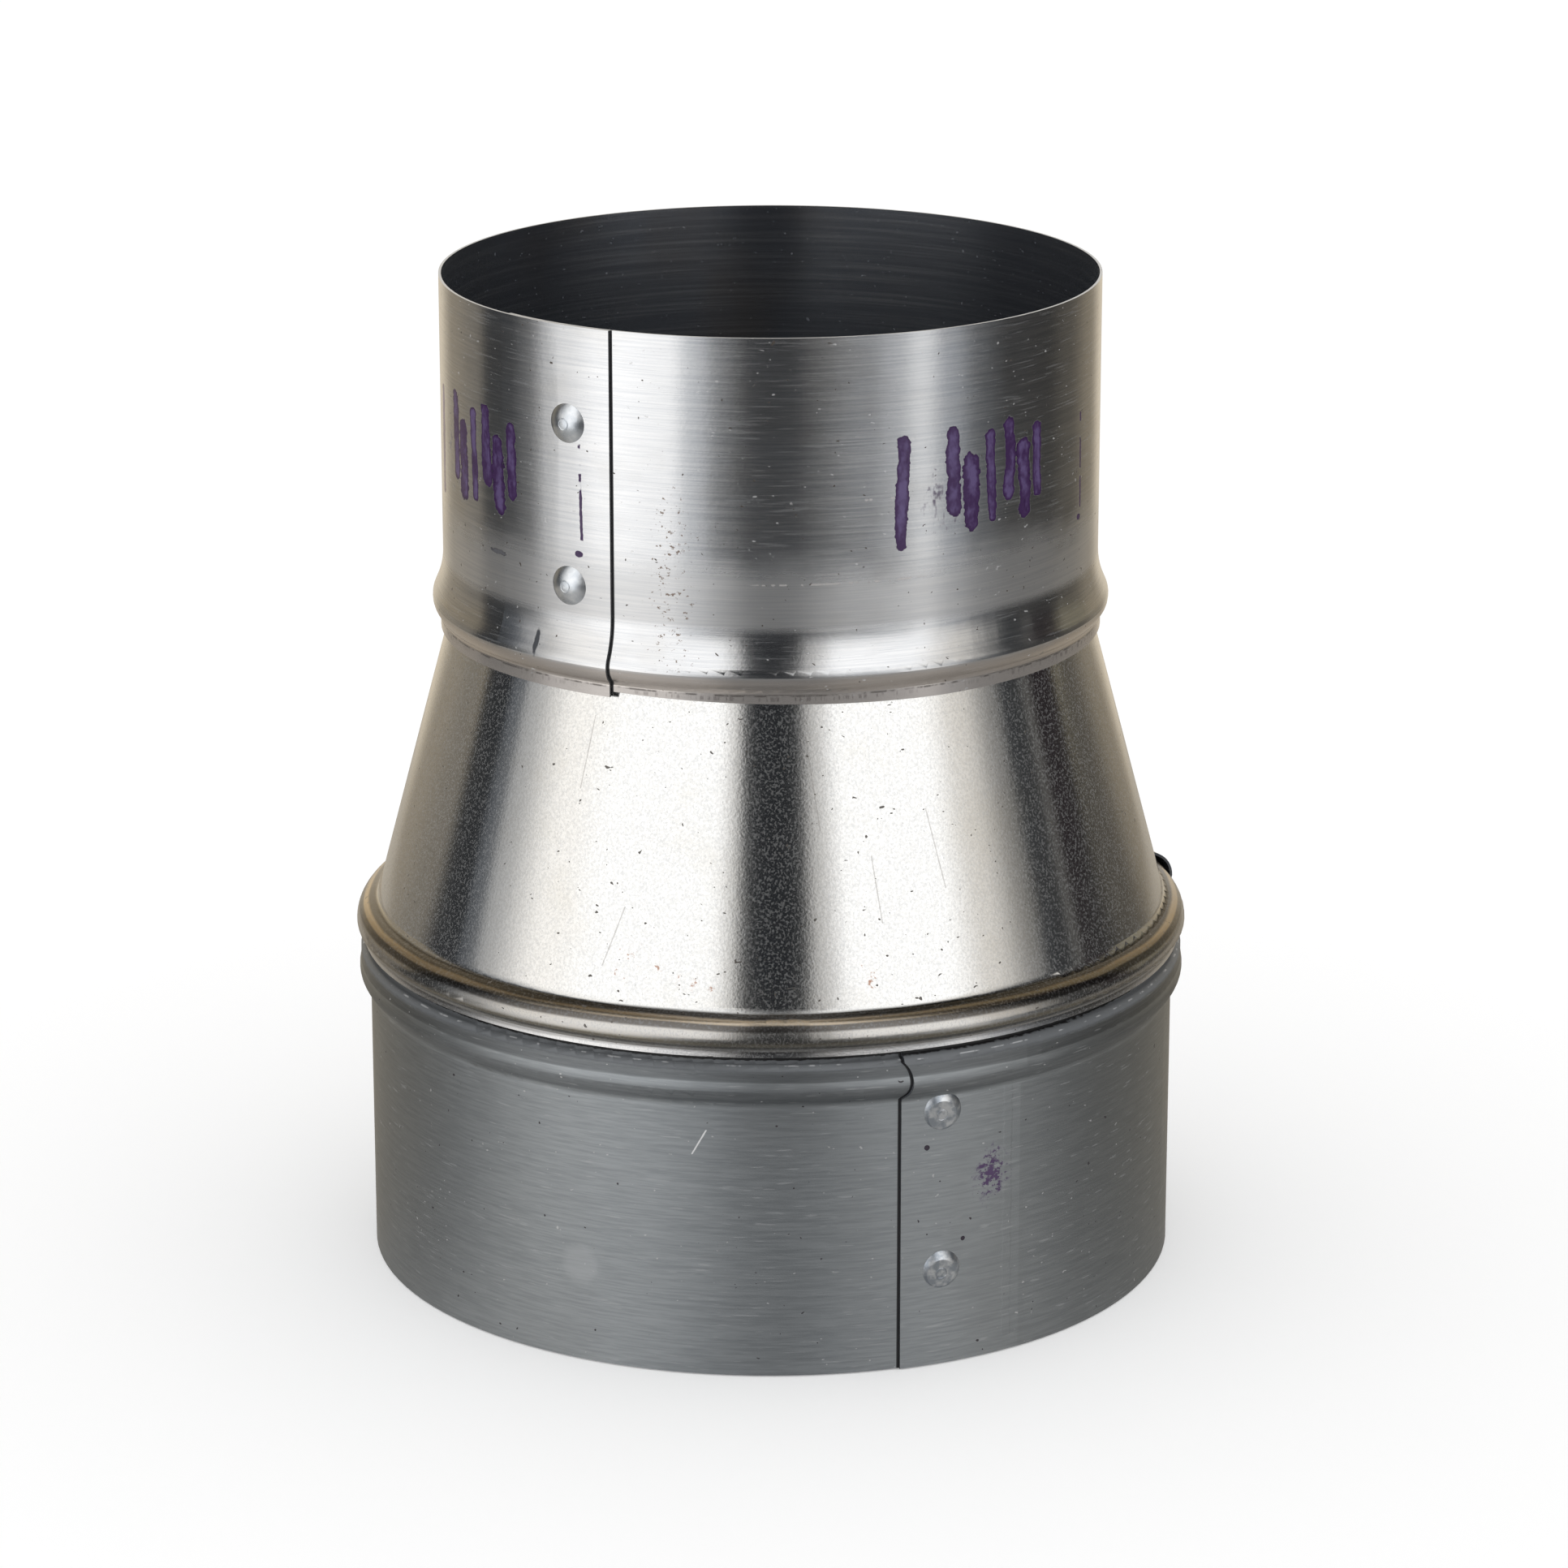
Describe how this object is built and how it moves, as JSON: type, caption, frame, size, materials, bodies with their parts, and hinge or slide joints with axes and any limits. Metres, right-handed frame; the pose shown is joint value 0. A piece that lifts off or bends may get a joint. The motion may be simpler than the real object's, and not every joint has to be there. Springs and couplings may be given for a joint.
{
  "type": "duct reducer",
  "caption": "Round sheet-metal duct reducer: large plain collar with a stop bead, tapered body and smaller beaded collar, with riveted lap seams.",
  "frame": {"origin": "centre of the large rim, on the duct axis", "axes": "+Z along the duct axis from the large end to the small end; -Y is the side seen in the picture, +X is to its right"},
  "size_m": [0.1322, 0.1322, 0.1582],
  "materials": {
    "small_collar": "bright galvanized sheet with fine circumferential brushing",
    "taper": "bright galvanized sheet, speckled, slightly warm",
    "large_collar": "dull blue-grey galvanized sheet with fine brushing",
    "small_collar_rivets": "zinc-plated domed heads",
    "taper_rivets": "zinc-plated domed heads",
    "large_collar_rivets": "zinc-plated domed heads, blue-grey"
  },
  "bodies": {
    "root": {"small_collar": "small_collar", "taper": "taper", "large_collar": "large_collar", "small_collar_rivets": "small_collar_rivets", "taper_rivets": "taper_rivets", "large_collar_rivets": "large_collar_rivets"}
  },
  "joints": []
}
